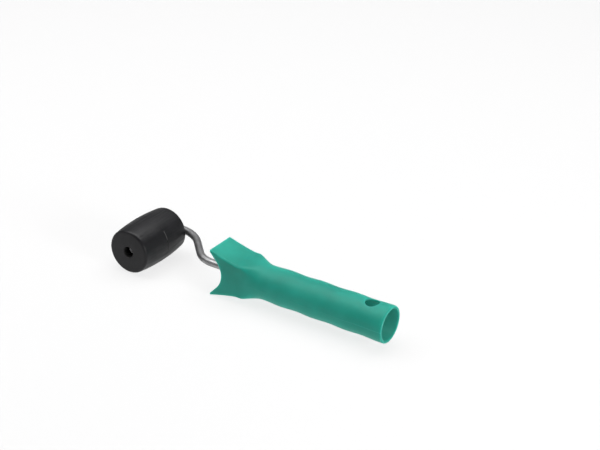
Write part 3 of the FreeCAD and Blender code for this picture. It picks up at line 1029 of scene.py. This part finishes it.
def skin_rings(shell, first_ring, edge_x):
    """Rings of the outer skin from the head's front edge to the rear rim, and where each one stands."""
    rings, stations = [first_ring], [TIP_X]
    for step in range(1, HEAD_STEPS + 1):
        share = step / HEAD_STEPS
        points = []
        for x, place in zip(edge_x, RING_PLACES):
            start = x + FRONT_EDGE
            points.append(on_skin(start + (BLEND_START - start) * share, place))
        rings.append(shell.loop(points))
        stations.append(TIP_X + (BLEND_START - TIP_X) * share)
    outer = spaced(BLEND_START, BLEND_END, NECK_STEPS)
    outer += spaced(BLEND_END, HANG_X - HANG_ZONE, GRIP_STEPS)
    outer += spaced(HANG_X - HANG_ZONE, HANG_X + HANG_ZONE, HANG_STEPS)
    outer += spaced(HANG_X + HANG_ZONE, HANDLE_END - RIM_OUTER_EDGE, REAR_STEPS)
    rings += [shell.loop([on_skin(x, place) for place in RING_PLACES]) for x in outer]
    return rings, stations + outer


def cavity_rings(shell):
    """Rings of the inside wall from the rear rim to the cavity's front, and where each one stands."""
    rim = HANDLE_END - RIM_INNER_EDGE
    inner = [rim] + spaced(rim, HANG_X + HANG_ZONE, REAR_STEPS)
    inner += spaced(HANG_X + HANG_ZONE, HANG_X - HANG_ZONE, HANG_STEPS)
    inner += spaced(HANG_X - HANG_ZONE, CAVITY_FRONT + CAVITY_CORNER, CAVITY_STEPS)
    rings = [
        shell.loop([(x, *on_circle(place, mouth_radius_at(x))) for place in RING_PLACES]) for x in inner
    ]
    return rings, inner


def mouth_radius_at(x):
    """Inside of the handle: a straight mouth, then a slight taper towards the head."""
    straight = HANDLE_END - MOUTH_DEPTH
    if x >= straight:
        return MOUTH_RADIUS
    share = (straight - x) / (straight - CAVITY_FRONT)
    return MOUTH_RADIUS + (CAVITY_FRONT_RADIUS - MOUTH_RADIUS) * share


def make_handle():
    """The moulding, as one closed skin outside and inside, with its ribs let into the cavity's wall."""
    shell = Shell()
    outer_rings, outer = skin_rings(shell, *make_front(shell))
    outer_loops = punch_wall(shell, outer_rings, outer, grip_radius_at, 1)
    lay_rings(shell, outer_rings, outer)
    inner_rings, inner = cavity_rings(shell)
    inner_loops = punch_wall(shell, inner_rings, inner, mouth_radius_at, -1)
    lay_rings(shell, inner_rings, inner)
    for outside, inside in zip(outer_loops, inner_loops):
        join_hole(shell, outside, inside)
    round_rim(shell, outer_rings[-1], inner_rings[0])
    close_cavity(shell, inner_rings[-1])
    for turn in RIB_TURNS:
        add_rib(shell, math.radians(turn))
    look = handle_look()
    handle = make_piece("handle_moulding", shell, look, "frame", "handle", HANDLE_SHARP)
    mark_handle(handle)


def mark_handle(piece):
    """Keeps two marks on the handle's points: how strongly the parting line gets a painted highlight, and which
    points inside the tube get painted fill light.
    """
    seam_highlight = piece.data.attributes.new("seam_highlight", "FLOAT", "POINT")
    inside = piece.data.attributes.new("inside", "FLOAT", "POINT")
    wall = MOUTH_RADIUS + RIM_INNER_EDGE
    for vertex, line, inner in zip(piece.data.vertices, seam_highlight.data, inside.data):
        x, y, z = (vertex.co - ORIGIN) / MM
        # the parting line's ridge, which gets a painted highlight growing towards the rear
        on_line = abs(z) < SEAM_HEIGHT and abs(y) > wall
        share = max(0.0, (x - BLEND_END) / (HANDLE_END - BLEND_END))
        line.value = share ** 2 if on_line else 0.0
        # points inside the tube, which get painted fill light
        painted_fill_in_tube = CAVITY_FRONT < x < HANDLE_END - RIM_OUTER_EDGE and math.hypot(y, z) < wall
        inner.value = 1.0 if painted_fill_in_tube else 0.0


def join_hole(shell, outside, inside):
    """Wall of the hanging hole. The two loops run opposite ways and may start apart, so match by angle."""
    def bearing(index):
        x, y, _ = shell.points[index]
        return math.atan2(y, x - HANG_X)

    shell.bridge(sorted(outside, key=bearing), sorted(inside, key=bearing))


def round_rim(shell, outer_ring, inner_ring):
    """Rounded edges and flat land of the rear rim."""
    outline = arc_to(HANDLE_END, grip_radius_at(HANDLE_END), -RIM_OUTER_EDGE, -RIM_OUTER_EDGE)
    outline += arc_from(HANDLE_END, MOUTH_RADIUS, -RIM_INNER_EDGE, RIM_INNER_EDGE)[:-1]
    shell.bridge(lay_outline(shell, outer_ring, outline), inner_ring)


def arc_to(x, radius, along, across):
    """Quarter arc of points (x, radius) that curves in to the plane at x."""
    return [
        (x + along * (1 - math.sin(turn)), radius + across * (1 - math.cos(turn)))
        for turn in quarter_turn(EDGE_STEPS)
    ]


def arc_from(x, radius, along, across):
    """Quarter arc of points (x, radius) that curves away from the plane at x."""
    return [
        (x + along * (1 - math.cos(turn)), radius + across * (1 - math.sin(turn)))
        for turn in [0.0] + quarter_turn(EDGE_STEPS)
    ]


def lay_outline(shell, last, outline):
    """Carries the skin on from a ring through circles (x, radius). Returns the last of them."""
    for x, radius in outline:
        ring = shell.loop([(x, *on_circle(place, radius)) for place in RING_PLACES])
        shell.bridge(last, ring)
        last = ring
    return last


def close_cavity(shell, last):
    """Front wall of the cavity, then the wire's boss standing back from it, with a dimple in its end."""
    outline = arc_to(CAVITY_FRONT, mouth_radius_at(CAVITY_FRONT), CAVITY_CORNER, -CAVITY_CORNER)
    outline += arc_from(CAVITY_FRONT, BOSS_RADIUS, BOSS_ROOT, BOSS_ROOT)
    boss = spaced(CAVITY_FRONT + BOSS_ROOT, BOSS_END - BOSS_EDGE, BOSS_STEPS)
    outline += [(x, BOSS_RADIUS) for x in boss]
    outline += arc_to(BOSS_END, BOSS_RADIUS, -BOSS_EDGE, -BOSS_EDGE)
    outline += [(BOSS_END, DIMPLE_RADIUS), (BOSS_END - DIMPLE_DEPTH, DIMPLE_FLOOR_RADIUS)]
    shell.cap(lay_outline(shell, last, outline))


def add_rib(shell, turn):
    """Thin plate between the boss and the wall, let into both, with a sloped rear end."""
    front = CAVITY_FRONT - RIB_BITE
    root = BOSS_RADIUS - BOSS_BITE
    wall_front = mouth_radius_at(CAVITY_FRONT) + RIB_BITE
    wall_rear = mouth_radius_at(RIB_END) + RIB_BITE
    points = []
    for low, high in (
        ((front, root), (RIB_END, root)),
        ((front, wall_front), (RIB_END + RIB_SLOPE, wall_rear)),
    ):
        for side in (-RIB_THICKNESS / 2, RIB_THICKNESS / 2):
            for x, radius in (low, high):
                y = radius * math.cos(turn) - side * math.sin(turn)
                z = radius * math.sin(turn) + side * math.cos(turn)
                points.append((x, y, z))
    a, b, c, d, e, f, g, h = shell.loop(points)
    shell.faces += [(a, b, d, c), (e, g, h, f), (a, e, f, b), (c, d, h, g), (a, c, g, e), (b, f, h, d)]


# -------- stage


CAMERA_PLACE = Vector((588.8, -728.5, 498.2))  # drawing millimetres
CAMERA_AZIMUTH = math.radians(31.76)
CAMERA_ELEVATION = math.radians(27.34)
CAMERA_ROLL = math.radians(1.88)
LENS = 81.98  # millimetres
SENSOR_WIDTH = 36.0  # millimetres
CLIP_START = 0.01
FLOOR_HALF = 6.0
FLOOR_ROUGHNESS = 0.9
FLOOR_COLOUR = (0.14, 0.14, 0.14)
FLOOR_LIGHT_POWER = 17.8
WORLD_STRENGTH = 0.08
AREA_LIGHTS = (  # name, place, target, size, power
    ("overhead", (-0.35, 0.05, 1.2), (-0.3, 0, 0), (2.4, 0.8), 27.8),
    ("back", (-0.7, 0.75, 0.65), (0, 0, 0), (1.0, 1.0), 0.85),
    ("side", (1.1, -0.18, 0.35), (0, 0, 0), (0.35, 0.35), 6.5),
)


def make_camera():
    a, e = CAMERA_AZIMUTH, CAMERA_ELEVATION
    right = Vector((math.cos(a), math.sin(a), 0))
    back = Vector((math.sin(a) * math.cos(e), -math.cos(a) * math.cos(e), math.sin(e)))
    up = back.cross(right)
    level = Matrix((right, up, back)).transposed()
    data = bpy.data.cameras.new("camera")
    data.sensor_width = SENSOR_WIDTH
    data.lens = LENS
    data.clip_start = CLIP_START
    camera = bpy.data.objects.new("camera", data)
    rotation = level @ Matrix.Rotation(CAMERA_ROLL, 3, "Z")
    camera.matrix_world = Matrix.Translation(ORIGIN + MM * CAMERA_PLACE) @ rotation.to_4x4()
    bpy.context.scene.collection.objects.link(camera)
    bpy.context.scene.camera = camera


def make_floor():
    """Wide matt floor in the plane that the tool rests on."""
    mesh = bpy.data.meshes.new("floor")
    corners = [(FLOOR_HALF * x, FLOOR_HALF * y, 0) for x, y in ((-1, -1), (1, -1), (1, 1), (-1, 1))]
    mesh.from_pydata(corners, [], [(0, 1, 2, 3)])
    floor = bpy.data.objects.new("floor", mesh)
    look = Look("floor", FLOOR_ROUGHNESS, specular=0.0)
    look.shader.inputs["Base Color"].default_value = (*FLOOR_COLOUR, 1)
    mesh.materials.append(look.material)
    bpy.context.scene.collection.objects.link(floor)
    return floor


def add_light(name, place, target, size, power):
    """Area light at a place in metres, turned towards a target."""
    data = bpy.data.lights.new(name, "AREA")
    data.shape = "RECTANGLE"
    data.size, data.size_y = size
    data.energy = power
    lamp = bpy.data.objects.new(name, data)
    lamp.location = place
    lamp.rotation_euler = (Vector(target) - Vector(place)).to_track_quat("-Z", "Y").to_euler()
    bpy.context.scene.collection.objects.link(lamp)


def make_lights(floor):
    """A dim white world, the area lights, and a sun for the floor alone, without the tool's shadow."""
    world = bpy.data.worlds.new("world")
    world.use_nodes = True
    background = world.node_tree.nodes["Background"]
    background.inputs["Color"].default_value = (1, 1, 1, 1)
    background.inputs["Strength"].default_value = WORLD_STRENGTH
    bpy.context.scene.world = world
    for light in AREA_LIGHTS:
        add_light(*light)
    only_floor = bpy.data.collections.new("only_floor")
    only_floor.objects.link(floor)
    sun = bpy.data.lights.new("floor_light", "SUN")
    sun.energy = FLOOR_LIGHT_POWER
    lamp = bpy.data.objects.new("floor_light", sun)
    bpy.context.scene.collection.objects.link(lamp)
    lamp.light_linking.receiver_collection = only_floor
    lamp.light_linking.blocker_collection = only_floor


make_roller()
make_axle_fittings()
make_wire()
make_handle()
make_lights(make_floor())
make_camera()
bpy.context.scene.view_settings.view_transform = "Standard"
